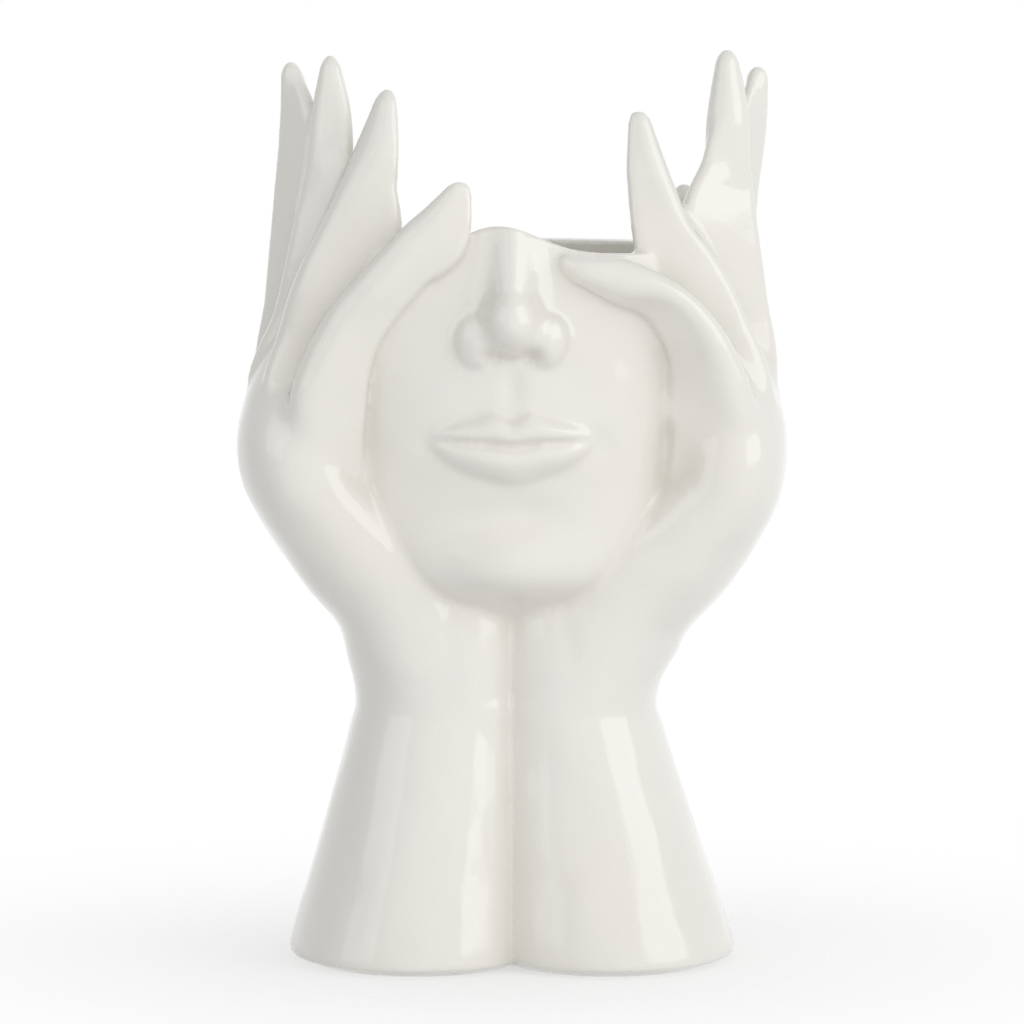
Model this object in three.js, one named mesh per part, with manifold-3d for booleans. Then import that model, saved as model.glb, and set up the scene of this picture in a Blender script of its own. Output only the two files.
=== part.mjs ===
// Ceramic flower vase: the lower half of a face, cupped by two hands whose forearms are the foot.
// Every piece is its own casting. The castings are luted together with slip and glazed as one.
// Millimetres, +Z up, the face looks along -Y. The origin is on the table, under the middle of the vase.
// Left and right are as seen from the front. Heights are measured from the table.

import * as THREE from 'three';
import { LoftGeometry } from 'three/addons/geometries/LoftGeometry.js';
import { mergeVertices } from 'three/addons/utils/BufferGeometryUtils.js';
import Module from 'manifold-3d';

// Castings
const WALL = 6; // cast wall of the head and the arms
const SLIP_GAP = 0.3; // line of slip between two luted pieces
const FOOT_PLATE = 7; // thickness of the plate that closes an arm
const FOOT_LEDGE = 11; // width of the arm's edge round its foot plate
const SEAM_WALL = 3; // wall of each arm on the seam between the arms

// Heights
const WRIST_HEIGHT = 86;
const CHIN_HEIGHT = 117;
const KNUCKLE_HEIGHT = 180;
const RIM_HEIGHT = 228; // at the back

// Head
const HEAD_HALF_WIDTH = 60;
const HEAD_FRONT = 38; // from the middle of the vase to the cheeks
const HEAD_BACK = 48;
const HEAD_SQUARENESS = 2.4; // 2 is an ellipse
const HEAD_DEPTH_BELOW_CHIN = 15; // how far the head reaches down between the heels of the hands
const SHELL_SPLIT = 4; // where the face shell meets the back shell, behind the middle
const RIM_FALL = 4; // the rim is this much lower at the front
const NOSE_RIM_RISE = 9; // and climbs over the nose

// Arms
const BASE_REACH = 71; // from the seam to the outside of the foot
const BASE_HALF_DEPTH = 56;
const BASE_EDGE = 6; // radius of the foot's outer edge
const BASE_OVERLAP = 10; // the foot's round section runs this far past the seam before it is cut flat
const WRIST_HALF_DEPTH = 36;
const WRIST_OVERLAP = 7;
const HAND_REACH = 88; // from the seam to the outside of the palm
const HAND_HALF_BREADTH = 38;
const ARM_SQUARENESS = 2.2;

// Face, on the proportions that drawing books give
const LOWER_THIRD = 76; // from the chin to the base of the nose
const FACE_WIDTH = 140; // across the cheekbones
const NOSE_PROUD = 16;
const UPPER_LIP = 7; // height of its red
const LOWER_LIP = 11;
const LIP_PROUD = 6;
const MOUTH_PROUD = 5;
const CHIN_PROUD = 7;

// Fineness of the meshes
const ARM_SIDES = 28;
const HOLLOW_SIDES = 20;
const FINGER_SIDES = 12;
const HEAD_FRONT_SIDES = 40;
const HEAD_BACK_SIDES = 12;

const GLAZE = { color: 0xebe9e2, roughness: 0.12, metalness: 0 };
const BARE_CLAY = { color: 0xe3ddd0, roughness: 0.8, metalness: 0 };

// A finger's path runs from its root in the palm, past the knuckle, to its tip.
// A point is [outside the head's side, behind the middle, above the knuckles].
// At each point, radius is the finger's half thickness and spread its half breadth.
// The knuckle is a share of the path's length. Facing is the way the finger's back looks, in degrees
// from the side of the vase towards its front.
const SIDES = [
  {
    name: 'left',
    sign: -1,
    wristReach: 50.5,
    heelHalfThickness: 23.5,
    handHalfThickness: 20.5,
    fingers: {
      little: {
        path: [
          [-12, -16, -46], [1, -30, -8], [-8, -34, 21],
          [-24, -38, 45], [-33.5, -38, 54], [-43, -37, 70],
        ],
        radii: [7, 11.5, 9, 7.6, 6.8, 4.4],
        spreads: [7, 13, 12, 10.5, 9.6, 5.4],
        knuckle: 0.38,
        facing: 65,
      },
      ring: {
        path: [
          [-10, -10, -46], [12, -19, -2], [3, -22, 20], [-3.5, -24, 35],
          [-13, -25, 58], [-17, -22, 80], [-19.8, -18, 98],
        ],
        radii: [7, 10.5, 9.4, 9, 8, 6.4, 4.2],
        spreads: [7, 12, 12.5, 12.5, 12, 8.2, 4.6],
        knuckle: 0.33,
        facing: 45,
      },
      middle: {
        path: [
          [-10, 0, -46], [16, -4, -2], [6, -8, 24], [1.5, -10, 48],
          [-2, -9, 70], [-2.3, -8, 88], [-2.5, -6, 108],
        ],
        radii: [7, 10.5, 9.4, 8.8, 8, 6.8, 4.2],
        spreads: [7, 11, 11.5, 11.5, 10.5, 8.2, 4.4],
        knuckle: 0.33,
        facing: 20,
      },
      index: {
        path: [[-10, 14, -46], [16, 12, -2], [12, 9, 30], [10, 7, 62], [9.6, 7, 86], [11.5, 8, 105]],
        radii: [7, 10.5, 9, 8, 7, 4],
        spreads: [7, 11, 10.5, 10, 8, 4],
        knuckle: 0.33,
        facing: 0,
      },
      thumb: {
        path: [[-20, 14, -62], [-3, 29, -30], [1, 36, 2], [-3, 35, 36], [-6, 33, 62]],
        radii: [7, 11.5, 10, 8, 4],
        spreads: [7, 13, 11, 9, 4],
        knuckle: 0.38,
        facing: -70,
      },
    },
  },
  {
    name: 'right',
    sign: 1,
    wristReach: 47,
    heelHalfThickness: 25.5,
    handHalfThickness: 18.5,
    fingers: {
      little: {
        path: [
          [-9, -16, -46], [5.5, -32, -8], [2.5, -35, 16],
          [-8, -37, 31.5], [-22, -40, 38], [-42, -44, 43],
        ],
        radii: [7, 11, 9, 8.4, 7.2, 4.4],
        spreads: [7, 12, 10.5, 9.5, 8, 4.6],
        knuckle: 0.37,
        facing: 65,
      },
      ring: {
        path: [
          [-10, -10, -46], [13, -19, -2], [9.5, -22, 22], [2, -24, 38],
          [-10, -25, 51], [-16.2, -23, 66], [-19.8, -19, 91.5],
        ],
        radii: [7, 10.5, 9.4, 9, 9, 8, 4.2],
        spreads: [7, 12, 11.5, 12, 13.5, 10.5, 4],
        knuckle: 0.33,
        facing: 45,
      },
      middle: {
        path: [[-10, 0, -46], [15, -4, -2], [11.5, -8, 30], [8.4, -9, 58], [7.4, -7, 86], [8.3, -5, 110.4]],
        radii: [7, 10.5, 9.4, 8.6, 7.2, 4.2],
        spreads: [7, 11, 11.5, 11.5, 8.6, 4.4],
        knuckle: 0.33,
        facing: 20,
      },
      index: {
        path: [[-10, 14, -46], [15, 12, -2], [11.5, 9, 30], [11.5, 8, 60], [16, 9, 86], [18.6, 10, 104]],
        radii: [7, 10.5, 9, 7.6, 6.2, 4],
        spreads: [7, 11, 10.5, 9, 7.4, 4],
        knuckle: 0.33,
        facing: 0,
      },
      thumb: {
        path: [[-20, 14, -62], [-3, 29, -30], [1, 36, 2], [-3, 35, 36], [-6, 33, 62]],
        radii: [7, 11.5, 10, 8, 4],
        spreads: [7, 13, 11, 9, 4],
        knuckle: 0.38,
        facing: -70,
      },
    },
  },
];

const wasm = await Module();
wasm.setup();

// Solids and geometries

function solidOf(geometry) {
  const bare = new THREE.BufferGeometry();
  bare.setAttribute('position', geometry.attributes.position);
  bare.setIndex(geometry.index);
  const merged = mergeVertices(bare);
  return new wasm.Manifold(
    new wasm.Mesh({
      numProp: 3,
      vertProperties: merged.attributes.position.array,
      triVerts: new Uint32Array(merged.index.array),
    }),
  );
}

function geometryOf(solid) {
  const mesh = solid.getMesh();
  return new THREE.BufferGeometry()
    .setAttribute('position', new THREE.BufferAttribute(mesh.vertProperties, 3))
    .setIndex(new THREE.BufferAttribute(mesh.triVerts, 1));
}

// The main body of a cut piece, without the crumbs that a cut may leave beside it.
function mainBody(solid) {
  const bodies = solid.decompose();
  return bodies.reduce((largest, body) => (body.volume() > largest.volume() ? body : largest));
}

function box(low, high) {
  const size = new THREE.Vector3().subVectors(high, low);
  const middle = new THREE.Vector3().addVectors(low, high).multiplyScalar(0.5);
  return solidOf(new THREE.BoxGeometry(size.x, size.y, size.z).translate(middle.x, middle.y, middle.z));
}

function loft(sections) {
  return solidOf(new LoftGeometry(sections, { capStart: true, capEnd: true }));
}

// Evenly spaced shares from first to last, both included.
function shares(count, first = 0, last = 1) {
  return Array.from({ length: count + 1 }, (unused, i) => first + ((last - first) * i) / count);
}

// Angles once round a circle.
function turns(sides) {
  return Array.from({ length: sides }, (unused, i) => (2 * Math.PI * i) / sides);
}

function roundPower(value, squareness) {
  return Math.sign(value) * Math.abs(value) ** (2 / squareness);
}

// Smooth interpolation through stations that are arrays of numbers.
function through(stations) {
  const columns = stations[0].map((unused, column) => {
    const points = stations.map((station) => new THREE.Vector3(station[column], 0, 0));
    return new THREE.CatmullRomCurve3(points, false, 'catmullrom', 0.5);
  });
  return (share) => columns.map((curve) => curve.getPoint(share).x);
}

// Moves points that are written for the right side to the side that is asked for.
function onSide(points, sign) {
  const moved = points.map((point) => new THREE.Vector3(sign * point.x, point.y, point.z));
  return sign < 0 ? moved.reverse() : moved;
}

function bump(x, z, centreX, centreZ, halfX, halfZ) {
  return Math.exp(-(((x - centreX) / halfX) ** 2) - ((z - centreZ) / halfZ) ** 2);
}

function step(value, low, high) {
  return THREE.MathUtils.smoothstep(value, low, high);
}

// Face relief: how far the face stands out of the head at a place across and a height.

const noseBase = CHIN_HEIGHT + LOWER_THIRD;
const noseTip = noseBase + LOWER_THIRD / 6;
const noseHalfWidth = FACE_WIDTH / 8;
const mouthHeight = noseBase - LOWER_THIRD / 3;
const mouthHalfWidth = 1.5 * noseHalfWidth;
const chinFold = mouthHeight - LOWER_THIRD / 3;

// A rounded swelling that stands proud in its middle and is level with the cheeks at its edge.
function swelling(x, z, middleX, middleZ, halfX, halfZ, proud) {
  return proud * (1 - ((x - middleX) / halfX) ** 2 - ((z - middleZ) / halfZ) ** 2);
}

// The larger of two heights, with a fillet where they meet.
function blend(a, b, fillet) {
  const near = Math.max(0, fillet - Math.abs(a - b)) / fillet;
  return Math.max(a, b) + (near * near * fillet) / 4;
}

function noseRelief(x, z) {
  const side = Math.abs(x);
  const tip = swelling(x, z, 0, noseTip, 0.74 * noseHalfWidth, 0.9 * (noseTip - noseBase), NOSE_PROUD);
  const climb = (z - noseTip) / (RIM_HEIGHT - noseTip);
  const bridgeProud = NOSE_PROUD * (0.94 - 0.28 * Math.max(0, climb));
  const bridge = bridgeProud * (1 - (x / (0.72 * noseHalfWidth)) ** 2 + 3 * Math.min(0, climb));
  const wingAt = 0.62 * noseHalfWidth;
  const wing = swelling(side, z, wingAt, noseBase + 7, 0.42 * noseHalfWidth, 8, 0.56 * NOSE_PROUD);
  const nostril = 2.5 * bump(side, z, 0.36 * noseHalfWidth, noseBase + 3.5, 3.2, 2.4);
  return blend(blend(blend(tip, bridge, 5), wing, 4), 0, 4) - nostril;
}

// Lips: each is a roll from the mouth line to its own edge, and both end in the corners of the mouth.
function mouthRelief(x, z) {
  const side = Math.min(1, Math.abs(x) / mouthHalfWidth);
  const line = mouthHeight - 0.7 * bump(x, 0, 0, 0, 6, 1) + 0.8 * side * side;
  const bow = 1 + 0.16 * bump(Math.abs(x), 0, 6, 0, 4, 1) - 0.1 * bump(x, 0, 0, 0, 3, 1);
  const upper = (z - line) / (UPPER_LIP * bow * (1 - side ** 1.7) + 0.6);
  const lower = (line - z) / (LOWER_LIP * (1 - side ** 2.2) + 0.6);
  const across = upper > 0 ? upper : lower;
  const roll = LIP_PROUD * (1 - side ** 3) * Math.sqrt(Math.max(0, across * (1.25 - across)));
  const corner = bump(Math.abs(x), z, mouthHalfWidth, mouthHeight, 4, 4);
  const mound = MOUTH_PROUD * bump(x, z, 0, mouthHeight + 3, 1.15 * mouthHalfWidth, 24);
  const groove = bump(x, z, 0, (noseBase + mouthHeight + UPPER_LIP) / 2, 3.4, 7);
  return roll + mound - 1.4 * corner - 1.2 * groove;
}

function chinRelief(x, z) {
  const chin = CHIN_PROUD * bump(x, z, 0, CHIN_HEIGHT + 12, 21, 15);
  const fold = 2.2 * bump(x, z, 0, chinFold + 2, 18, 6);
  return chin - fold;
}

function faceRelief(x, z) {
  return noseRelief(x, z) + mouthRelief(x, z) + chinRelief(x, z);
}

// Head

// Stations of the head from its bottom to its rim: height, half width, front, back.
function headStations() {
  const jaw = KNUCKLE_HEIGHT - CHIN_HEIGHT;
  return [
    [CHIN_HEIGHT - HEAD_DEPTH_BELOW_CHIN, 0.34 * HEAD_HALF_WIDTH, 0.3 * HEAD_FRONT, 0.56 * HEAD_BACK],
    [CHIN_HEIGHT - 3, 0.46 * HEAD_HALF_WIDTH, 0.7 * HEAD_FRONT, 0.74 * HEAD_BACK],
    [CHIN_HEIGHT + 0.12 * jaw, 0.62 * HEAD_HALF_WIDTH, HEAD_FRONT, 0.85 * HEAD_BACK],
    [CHIN_HEIGHT + 0.42 * jaw, 0.82 * HEAD_HALF_WIDTH, HEAD_FRONT, 0.95 * HEAD_BACK],
    [CHIN_HEIGHT + 0.85 * jaw, 0.95 * HEAD_HALF_WIDTH, 1.04 * HEAD_FRONT, HEAD_BACK],
    [(KNUCKLE_HEIGHT + RIM_HEIGHT) / 2, HEAD_HALF_WIDTH, 1.02 * HEAD_FRONT, HEAD_BACK],
    [RIM_HEIGHT, HEAD_HALF_WIDTH, 0.96 * HEAD_FRONT, 0.97 * HEAD_BACK],
  ];
}

// Angles round the head: the back coarse, the face finer towards its middle.
function headAngles() {
  const back = shares(HEAD_BACK_SIDES).slice(0, -1);
  const front = shares(HEAD_FRONT_SIDES, -1, 1).slice(0, -1);
  const eased = front.map((value) => value * (0.5 + 0.5 * value * value));
  return [...back.map((share) => Math.PI * share), ...eased.map((value) => (Math.PI * (3 + value)) / 2)];
}

function headRing(station, angles, inset, withFace) {
  const [height, halfWidth, front, back] = station;
  return angles.map((angle) => {
    const x = (halfWidth - inset) * roundPower(Math.cos(angle), HEAD_SQUARENESS);
    const across = roundPower(Math.sin(angle), HEAD_SQUARENESS);
    const depth = across < 0 ? front - inset : back - inset;
    const rise = across < 0 ? NOSE_RIM_RISE * bump(x, 0, 0, 0, noseHalfWidth, 1) : 0;
    const z = height + (rise - (RIM_FALL * (1 - across)) / 2) * step(height, noseTip, RIM_HEIGHT);
    const relief = withFace && across < 0 ? faceRelief(x, z) * step(-across, 0, 0.5) : 0;
    return new THREE.Vector3(x, across * depth - relief, z);
  });
}

// A ring moved outwards in its plane by the same distance all round.
function grownRing(ring, grow) {
  return ring.map((point, i) => {
    const along = new THREE.Vector3().subVectors(ring[(i + 1) % ring.length], ring.at(i - 1));
    return new THREE.Vector3(along.y, -along.x, 0).setLength(grow).add(point);
  });
}

function headSolid(grow = 0) {
  const station = through(headStations());
  const levels = [...shares(7, 0, 0.54), ...shares(22, 0.56, 0.9), ...shares(2, 0.94, 1)];
  const angles = headAngles();
  const rings = levels.map((share) => grownRing(headRing(station(share), angles, 0, true), grow));
  for (const point of rings.at(0)) point.z -= grow;
  for (const point of rings.at(-1)) point.z += grow;
  return loft(rings);
}

// Arms: one round section from the foot to the knuckles, on a spine that leans out above the wrist.

// Stations of an arm: reach of its spine, behind the middle, height, half thickness, half depth.
function armStations(side) {
  const foot = (BASE_REACH - BASE_OVERLAP) / 2;
  const footHalf = (BASE_REACH + BASE_OVERLAP) / 2;
  const wrist = (side.wristReach - WRIST_OVERLAP) / 2;
  const wristHalf = (side.wristReach + WRIST_OVERLAP) / 2;
  const shin = THREE.MathUtils.lerp(foot, wrist, 0.42);
  const shinHalf = THREE.MathUtils.lerp(footHalf, wristHalf, 0.42);
  const shinHalfDepth = THREE.MathUtils.lerp(BASE_HALF_DEPTH, WRIST_HALF_DEPTH, 0.45);
  const hand = KNUCKLE_HEIGHT - WRIST_HEIGHT;
  const thick = side.handHalfThickness;
  const palm = HAND_REACH - thick;
  const palmLow = (side.heelHalfThickness + thick) / 2;
  const lean = palm - wrist;
  return [
    [foot, 0, 0, footHalf - BASE_EDGE, BASE_HALF_DEPTH - BASE_EDGE],
    [foot, 0, 0.3 * BASE_EDGE, footHalf - 0.3 * BASE_EDGE, BASE_HALF_DEPTH - 0.3 * BASE_EDGE],
    [foot, 0, BASE_EDGE, footHalf, BASE_HALF_DEPTH],
    [shin, 0, 0.42 * WRIST_HEIGHT, shinHalf, shinHalfDepth],
    [wrist + 0.8, 0, 0.84 * WRIST_HEIGHT, wristHalf + 1.2, 1.06 * WRIST_HALF_DEPTH],
    [wrist, 0, WRIST_HEIGHT, wristHalf, WRIST_HALF_DEPTH],
    [wrist + 0.26 * lean, -1, WRIST_HEIGHT + 0.32 * hand, side.heelHalfThickness, WRIST_HALF_DEPTH],
    [wrist + 0.62 * lean, -2, WRIST_HEIGHT + 0.51 * hand, palmLow, 0.97 * HAND_HALF_BREADTH],
    [wrist + 0.89 * lean, -3, WRIST_HEIGHT + 0.68 * hand, thick, HAND_HALF_BREADTH],
    [palm, -3, WRIST_HEIGHT + 0.81 * hand, thick, HAND_HALF_BREADTH],
    [palm + 0.5, -4, WRIST_HEIGHT + 0.94 * hand, 0.86 * thick, 0.95 * HAND_HALF_BREADTH],
    [palm, -4, KNUCKLE_HEIGHT, 0.6 * thick, 0.75 * HAND_HALF_BREADTH],
  ];
}

const WRIST_SHARE = 5 / 11; // the wrist is the sixth of the twelve arm stations
const HEEL_SHARE = 6 / 11;

function armSection(side, share, sides, grow) {
  const station = through(armStations(side));
  const [reach, behind, height, halfThickness, halfDepth] = station(share);
  const [lowReach, , lowHeight] = station(Math.max(0, share - 0.01));
  const [highReach, , highHeight] = station(Math.min(1, share + 0.01));
  const slope = Math.atan2(highReach - lowReach, highHeight - lowHeight);
  const lean = slope * step(share, WRIST_SHARE, HEEL_SHARE);
  const points = turns(sides).map((angle) => {
    const out = (halfThickness + grow) * roundPower(Math.cos(angle), ARM_SQUARENESS);
    const back = (halfDepth + grow) * roundPower(Math.sin(angle), ARM_SQUARENESS);
    return new THREE.Vector3(reach + out * Math.cos(lean), behind + back, height - out * Math.sin(lean));
  });
  return onSide(points, side.sign);
}

function armSolid(side, levels, grow) {
  return loft(levels.map((share) => armSection(side, share, ARM_SIDES, grow)));
}

// Heel of a hand: the wrist's round section, carried on up to the chin and closed there.
function heelSolid(side, grow) {
  const reach = (side.wristReach - WRIST_OVERLAP) / 2;
  const half = (side.wristReach + WRIST_OVERLAP) / 2 + grow;
  const depth = WRIST_HALF_DEPTH + grow;
  const rise = CHIN_HEIGHT - WRIST_HEIGHT;
  const levels = [[0, 1], [0.5, 0.98], [0.85, 0.92], [1.15, 0.78], [1.35, 0.5]];
  const sections = levels.map(([up, size]) => {
    const points = turns(ARM_SIDES).map((angle) => {
      const out = size * half * roundPower(Math.cos(angle), ARM_SQUARENESS);
      const back = size * depth * roundPower(Math.sin(angle), ARM_SQUARENESS);
      return new THREE.Vector3(size * reach + out, back, WRIST_HEIGHT + up * rise);
    });
    return onSide(points, side.sign);
  });
  return loft(sections);
}

// Fingers

function fingerCurve(finger) {
  const points = finger.path.map(
    ([out, behind, up]) => new THREE.Vector3(HEAD_HALF_WIDTH + out, behind, KNUCKLE_HEIGHT + up),
  );
  return new THREE.CatmullRomCurve3(points, false, 'centripetal');
}

const TIP_SHARE = 0.95; // past this share of its length a finger closes to a round tip
const TIP_LEVELS = [0.972, 0.988, 0.997, 1];
const TIP_FLAT = 0.08; // the smallest ring of a tip, as a share of the finger there

function fingerSection(side, finger, share, grow) {
  const curve = fingerCurve(finger);
  const [radius, spread] = through(finger.radii.map((value, i) => [value, finger.spreads[i]]))(share);
  const closing = Math.max(0, (share - TIP_SHARE) / (1 - TIP_SHARE));
  const size = Math.max(TIP_FLAT, Math.sqrt(1 - closing * closing));
  const facing = THREE.MathUtils.degToRad(finger.facing);
  const along = curve.getTangentAt(share);
  const outward = new THREE.Vector3(Math.cos(facing), -Math.sin(facing), 0);
  const broad = new THREE.Vector3().crossVectors(along, outward).normalize();
  const thick = new THREE.Vector3().crossVectors(broad, along);
  const points = turns(FINGER_SIDES).map((angle) =>
    curve
      .getPointAt(share)
      .addScaledVector(thick, (size * radius + grow) * Math.cos(angle))
      .addScaledVector(broad, (size * spread + grow) * Math.sin(angle)),
  );
  return onSide(points, side.sign);
}

function fingerSolid(side, finger, levels, grow) {
  return loft(levels.map((share) => fingerSection(side, finger, share, grow)));
}

// Hollow of the vase: the head, open at the rim, and an arm on each side, down to its foot plate

const FAR = 400; // past every edge of the vase

function hollowSolid() {
  const station = through(headStations());
  const angles = turns(HOLLOW_SIDES + 8);
  const rings = shares(9, 0.1, 1).map((share) => headRing(station(share), angles, WALL, false));
  const mouth = rings.at(-1).map((point) => new THREE.Vector3(point.x, point.y, RIM_HEIGHT + FAR));
  const head = loft([...rings, mouth]);
  return SIDES.reduce((hollow, side) => hollow.add(armHollow(side)), head);
}

function armHollow(side) {
  const sections = shares(8, 0.2, 0.62).map((share) => armSection(side, share, HOLLOW_SIDES, -WALL));
  const foot = sections[0].map((point) => new THREE.Vector3(point.x, point.y, FOOT_PLATE));
  const seam = box(new THREE.Vector3(-SEAM_WALL, -FAR, -FAR), new THREE.Vector3(SEAM_WALL, FAR, FAR));
  return loft([foot, ...sections]).subtract(seam);
}

// Pieces

const head = headSolid();
const headRoom = headSolid(SLIP_GAP);
const hollow = hollowSolid();

function frontOf(depth) {
  return box(new THREE.Vector3(-FAR, -FAR, -FAR), new THREE.Vector3(FAR, depth, FAR));
}

function faceShell() {
  return head.intersect(frontOf(SHELL_SPLIT)).subtract(hollow);
}

function backShell() {
  return head.subtract(frontOf(SHELL_SPLIT + SLIP_GAP)).subtract(hollow);
}

// Everything on one side of the seam between the arms, half a line of slip away from it.
function sideRoom(side) {
  const near = side.sign < 0 ? -FAR : SLIP_GAP / 2;
  const far = side.sign < 0 ? -SLIP_GAP / 2 : FAR;
  return box(new THREE.Vector3(near, -FAR, -FAR), new THREE.Vector3(far, FAR, FAR));
}

function footOutline(side, height, grow) {
  const section = armSection(side, 0, HOLLOW_SIDES, BASE_EDGE - FOOT_LEDGE + grow);
  const inside = SEAM_WALL + FOOT_LEDGE / 2 - grow;
  return section.map((point) => {
    const x = side.sign * Math.max(inside, side.sign * point.x);
    return new THREE.Vector3(x, point.y, height);
  });
}

function footPlate(side, grow = 0) {
  return loft([footOutline(side, -grow, grow), footOutline(side, FOOT_PLATE - SLIP_GAP + grow, grow)]);
}

function forearm(side) {
  return armSolid(side, shares(12, 0, WRIST_SHARE), 0)
    .intersect(sideRoom(side))
    .subtract(headRoom)
    .subtract(hollow)
    .subtract(footPlate(side, SLIP_GAP));
}

function handSolid(side, grow) {
  const palm = armSolid(side, shares(12, WRIST_SHARE, 1), grow).add(heelSolid(side, grow));
  const roots = Object.values(side.fingers).map((finger) =>
    fingerSolid(side, finger, shares(4, 0, finger.knuckle), grow),
  );
  return roots.reduce((hand, root) => hand.add(root), palm);
}

function hand(side) {
  const low = new THREE.Vector3(-FAR, -FAR, WRIST_HEIGHT + SLIP_GAP);
  const aboveWrist = box(low, new THREE.Vector3(FAR, FAR, FAR));
  return handSolid(side, 0)
    .intersect(sideRoom(side))
    .intersect(aboveWrist)
    .subtract(headRoom)
    .subtract(hollow);
}

// The fingers of a hand in turn, each cut clear of the palm, the head and the fingers before it.
function fingers(side) {
  let taken = headRoom.add(handSolid(side, SLIP_GAP));
  return Object.entries(side.fingers).map(([name, finger]) => {
    const start = finger.knuckle + SLIP_GAP / fingerCurve(finger).getLength();
    const levels = [...shares(8, start, TIP_SHARE), ...TIP_LEVELS];
    const piece = fingerSolid(side, finger, levels, 0).subtract(taken);
    taken = taken.add(fingerSolid(side, finger, levels, SLIP_GAP));
    const title = name === 'thumb' ? name : `${name}_finger`;
    return [`${side.name}_${title}`, piece];
  });
}

// Assembly

const vase = new THREE.Group();

function addPiece(name, solid, finish) {
  const mesh = new THREE.Mesh(geometryOf(mainBody(solid)), new THREE.MeshStandardMaterial(finish));
  mesh.name = name;
  vase.add(mesh);
}

addPiece('face_shell', faceShell(), GLAZE);
addPiece('back_shell', backShell(), GLAZE);
for (const side of SIDES) {
  addPiece(`${side.name}_forearm`, forearm(side), GLAZE);
  addPiece(`${side.name}_foot_plate`, footPlate(side), BARE_CLAY);
  addPiece(`${side.name}_hand`, hand(side), GLAZE);
  for (const [name, solid] of fingers(side)) addPiece(name, solid, GLAZE);
}

export default vase;
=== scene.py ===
import math

import bmesh
import bpy
import numpy as np
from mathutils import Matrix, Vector


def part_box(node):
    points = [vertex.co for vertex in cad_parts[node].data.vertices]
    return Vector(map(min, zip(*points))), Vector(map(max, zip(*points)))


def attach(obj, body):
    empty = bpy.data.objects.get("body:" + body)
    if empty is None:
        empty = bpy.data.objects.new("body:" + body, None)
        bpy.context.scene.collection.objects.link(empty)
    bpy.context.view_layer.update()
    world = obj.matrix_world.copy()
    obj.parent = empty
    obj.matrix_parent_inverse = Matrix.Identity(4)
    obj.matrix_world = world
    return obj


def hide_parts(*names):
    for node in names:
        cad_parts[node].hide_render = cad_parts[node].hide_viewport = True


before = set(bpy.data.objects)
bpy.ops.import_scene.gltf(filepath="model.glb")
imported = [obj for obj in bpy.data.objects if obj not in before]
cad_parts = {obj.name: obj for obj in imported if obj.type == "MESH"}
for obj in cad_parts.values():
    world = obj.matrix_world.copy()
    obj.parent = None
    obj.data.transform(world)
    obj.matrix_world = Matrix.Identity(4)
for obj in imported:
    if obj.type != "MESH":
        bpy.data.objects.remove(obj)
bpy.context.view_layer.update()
print("frame loaded:", len(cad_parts), "nodes")

# Sizes are in millimetres, +Z up, and the face looks along -Y.
# Left and right are as seen from the front. Heights are from the table.
mm = 0.001

heights = {
    "wrist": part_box("left_forearm")[1].z / mm,
    "chin": 117,
    "knuckles": 180,
    "rim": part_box("back_shell")[1].z / mm,
}


# Shaping

def easeStep(value, low, high):
    t = np.clip((value - low) / (high - low), 0, 1)
    return t * t * (3 - 2 * t)


def easeDown(value, low, high):
    return easeStep(-value, -high, -low)


# Across and back on a rounded square of unit size.
def roundSquare(angle, squareness):
    across, back = np.cos(angle), np.sin(angle)
    size = (np.abs(across) ** squareness + np.abs(back) ** squareness) ** (-1 / squareness)
    return across * size, back * size


def bump(x, z, middleX, middleZ, halfX, halfZ):
    return np.exp(-(((x - middleX) / halfX) ** 2) - ((z - middleZ) / halfZ) ** 2)


def dome(x, z, middleX, middleZ, halfX, halfZ):
    return np.sqrt(np.maximum(0, 1 - ((x - middleX) / halfX) ** 2 - ((z - middleZ) / halfZ) ** 2))


def blend(a, b, fillet):
    near = np.maximum(0, fillet - np.abs(a - b)) / fillet
    return np.maximum(a, b) + near * near * fillet / 4


# A smooth run through rows of numbers, read at shares from 0 to 1.
def through(rows, share):
    rows = np.array(rows, float)
    rows = np.vstack([2 * rows[0] - rows[1], rows, 2 * rows[-1] - rows[-2]])
    place = np.clip(share, 0, 1) * (len(rows) - 3)
    low = np.minimum(place.astype(int), len(rows) - 4)
    t = (place - low)[:, None]
    before, start, end, after = (rows[low + i] for i in range(4))
    leave, arrive = (end - before) / 2, (after - start) / 2
    return (start + leave * t + (3 * (end - start) - 2 * leave - arrive) * t**2
            + (2 * (start - end) + leave + arrive) * t**3)


# An upright tube of unit size, closed at both ends, whose points are then put in place.
def shapedTube(sides, levels, place):
    bm = bmesh.new()
    bmesh.ops.create_cone(bm, cap_ends=True, segments=sides, radius1=1, radius2=1, depth=1)
    upright = [e for e in bm.edges if abs(e.verts[0].co.z - e.verts[1].co.z) > 0.5]
    bmesh.ops.subdivide_edges(bm, edges=upright, cuts=levels - 1)
    unit = np.array([v.co for v in bm.verts])
    points = place(np.arctan2(unit[:, 1], unit[:, 0]), unit[:, 2] + 0.5)
    for v, point in zip(bm.verts, points):
        v.co = Vector(point) * mm
    bmesh.ops.recalc_face_normals(bm, faces=bm.faces)
    if bm.calc_volume(signed=True) < 0:
        bmesh.ops.reverse_faces(bm, faces=bm.faces)
    return bm


# Face relief: how far the face stands out of the head at a place across and a height.

face = {
    "lowerThird": 76,
    "width": 140,
    "noseProud": 15,
    "upperLip": 9,
    "lowerLip": 12,
    "lipProud": 4.5,
    "mouthProud": 5,
    "chinProud": 7,
}

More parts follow.
